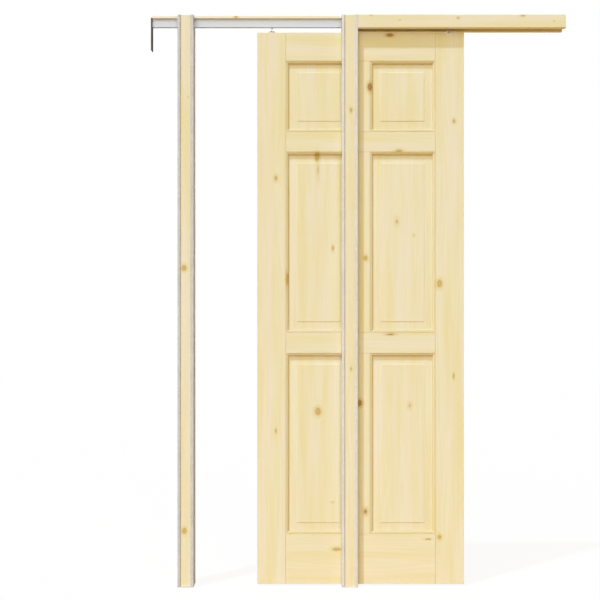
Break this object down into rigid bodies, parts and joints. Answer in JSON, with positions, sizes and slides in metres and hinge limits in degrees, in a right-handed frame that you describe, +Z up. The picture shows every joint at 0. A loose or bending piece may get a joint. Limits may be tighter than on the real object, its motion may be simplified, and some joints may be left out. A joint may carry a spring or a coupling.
{
  "type": "pocket door frame",
  "caption": "Pocket door frame with steel-wrapped split studs, a track header and a panelled pine door that hangs from trolleys and slides into the pocket.",
  "frame": {"origin": "on the floor, in the middle of the floor plate at the mouth of the pocket", "axes": "+X along the wall towards the latch side, +Y through the wall to the back, +Z up"},
  "size_m": [1.524, 0.089, 2.1],
  "materials": {
    "framing_pine": "planed pine, bare",
    "galvanised_steel": "galvanised sheet, dull",
    "bracket_steel": "galvanised plate, dull",
    "track_aluminium": "satin extrusion",
    "door_pine": "sanded clear and knotty pine, bare",
    "panel_pine": "sanded knotty pine, bare",
    "hanger_steel": "bright zinc plate",
    "wheel_nylon": "moulded nylon"
  },
  "bodies": {
    "frame": {"header_board": "framing_pine", "front_nailer": "framing_pine", "back_nailer": "framing_pine", "track": "track_aluminium", "end_bracket": "bracket_steel", "mouth_front_stud_wrap": "galvanised_steel", "mouth_back_stud_wrap": "galvanised_steel", "pocket_front_stud_wrap": "galvanised_steel", "pocket_back_stud_wrap": "galvanised_steel", "mouth_front_stud_core": "framing_pine", "mouth_back_stud_core": "framing_pine", "pocket_front_stud_core": "framing_pine", "pocket_back_stud_core": "framing_pine", "mouth_floor_plate": "galvanised_steel", "pocket_floor_plate": "galvanised_steel"},
    "door": {"left_stile": "door_pine", "right_stile": "door_pine", "top_rail": "door_pine", "cross_rail": "door_pine", "lock_rail": "door_pine", "bottom_rail": "door_pine", "top_mullion": "door_pine", "middle_mullion": "door_pine", "bottom_mullion": "door_pine", "top_left_panel": "panel_pine", "top_right_panel": "panel_pine", "middle_left_panel": "panel_pine", "middle_right_panel": "panel_pine", "bottom_left_panel": "panel_pine", "bottom_right_panel": "panel_pine", "left_hanger_plate": "hanger_steel", "left_hanger_bolt": "hanger_steel", "left_trolley_body": "hanger_steel", "right_hanger_plate": "hanger_steel", "right_hanger_bolt": "hanger_steel", "right_trolley_body": "hanger_steel", "trolley_wheels": "wheel_nylon"}
  },
  "joints": [
    {"name": "door_slide", "type": "slide", "parent": "frame", "child": "door", "axis": [1, 0, 0], "range_m": [-0.3835, 0.3705]}
  ]
}
